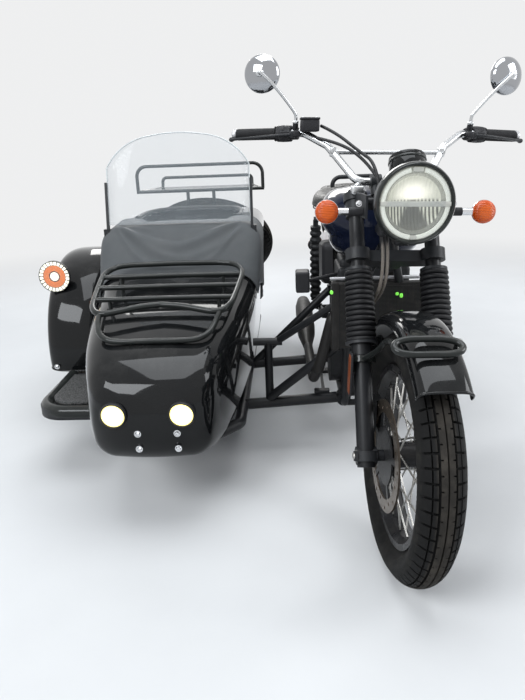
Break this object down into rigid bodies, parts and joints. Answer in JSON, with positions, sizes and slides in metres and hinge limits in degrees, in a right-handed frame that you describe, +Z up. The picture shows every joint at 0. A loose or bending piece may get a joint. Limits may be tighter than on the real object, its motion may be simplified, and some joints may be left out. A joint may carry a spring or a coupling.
{
  "type": "sidecar motorcycle",
  "caption": "Retro-style motorcycle with telescopic fork, spoked wheels and a passenger sidecar with soft cover, windscreen, racks and a spare wheel on its boot lid.",
  "frame": {"origin": "on the floor under the middle of the outfit's bounding box", "axes": "+Z up, the outfit faces -Y, the motorcycle's left-hand side is +X and the sidecar is on the -X side"},
  "size_m": [1.758, 2.378, 1.3682],
  "materials": {
    "gloss_black": "gloss",
    "tank_blue": "gloss",
    "satin_black": "satin",
    "chrome": "polished",
    "black_rubber": "matte",
    "tyre_rubber": "matte",
    "wheel_steel": "satin",
    "disc_steel": "satin",
    "seat_leather": "satin",
    "cover_fabric": "matte",
    "clear_screen": "gloss",
    "lamp_glass": "gloss",
    "amber_lens": "gloss",
    "engine_alloy": "satin",
    "exhaust_black": "satin",
    "moulded_black": "matte",
    "plate_white": "satin"
  },
  "bodies": {
    "chassis": {"main_frame": "satin_black", "swing_arm": "satin_black", "rear_spring_units": "engine_alloy", "engine": "engine_alloy", "drive_chain": "disc_steel", "radiator": "moulded_black", "exhausts": "exhaust_black", "fuel_tank": "tank_blue", "rider_saddle": "seat_leather", "pillion_saddle": "seat_leather", "side_covers_and_air_box": "moulded_black", "rear_mudguard": "gloss_black", "rear_lamps": "amber_lens", "number_plate": "plate_white", "foot_controls": "satin_black", "sidecar_body": "gloss_black", "tonneau_cover": "cover_fabric", "sidecar_seat": "seat_leather", "windscreen": "clear_screen", "screen_rails": "satin_black", "nose_rack": "satin_black", "fog_lamps": "lamp_glass", "sidecar_chassis": "satin_black", "sidecar_struts": "satin_black", "sidecar_suspension": "satin_black", "sidecar_mudguard": "gloss_black", "sidecar_lamps": "lamp_glass", "sidecar_step": "black_rubber"},
    "steering": {"fork_yokes": "satin_black", "fork_legs": "satin_black", "fork_gaiters": "black_rubber", "headlamp_lens": "lamp_glass", "headlamp_shell": "satin_black", "front_indicators": "amber_lens", "handlebar": "chrome", "speedometer": "moulded_black", "hand_controls": "moulded_black", "mirrors": "chrome", "front_mudguard": "gloss_black", "mudguard_hoop": "satin_black", "front_caliper": "engine_alloy", "fork_reflectors": "amber_lens", "brake_hoses": "black_rubber"},
    "front_wheel": {"front_tyre": "tyre_rubber", "front_rim": "wheel_steel", "front_brake_disc": "disc_steel"},
    "rear_wheel": {"rear_tyre": "tyre_rubber", "rear_rim": "wheel_steel", "rear_disc_and_sprocket": "disc_steel"},
    "sidecar_wheel": {"sidecar_tyre": "tyre_rubber", "sidecar_rim": "wheel_steel", "sidecar_brake_disc": "disc_steel"},
    "boot_lid": {"boot_lid": "gloss_black", "spare_tyre": "tyre_rubber", "spare_rim": "wheel_steel", "rear_rack": "satin_black"}
  },
  "joints": [
    {"name": "steering_head", "type": "hinge", "parent": "chassis", "child": "steering", "pos_m": [0.43199, -0.52063, 0.86409], "axis": [0, 0.454, 0.891], "range_deg": [-40, 30]},
    {"name": "front_wheel_spin", "type": "hinge", "parent": "steering", "child": "front_wheel", "pos_m": [0.43722, -0.8599, 0.3299], "axis": [0.9962, 0.0777, -0.0396], "continuous": true},
    {"name": "rear_wheel_spin", "type": "hinge", "parent": "chassis", "child": "rear_wheel", "pos_m": [0.43199, 0.7099, 0.33], "axis": [1, 0, 0], "continuous": true},
    {"name": "sidecar_wheel_spin", "type": "hinge", "parent": "chassis", "child": "sidecar_wheel", "pos_m": [-0.74301, 0.3799, 0.33], "axis": [1, 0, 0], "continuous": true},
    {"name": "boot_lid_hinge", "type": "hinge", "parent": "chassis", "child": "boot_lid", "pos_m": [-0.26801, 0.6459, 0.856], "axis": [1, 0, 0], "range_deg": [0, 60]}
  ]
}
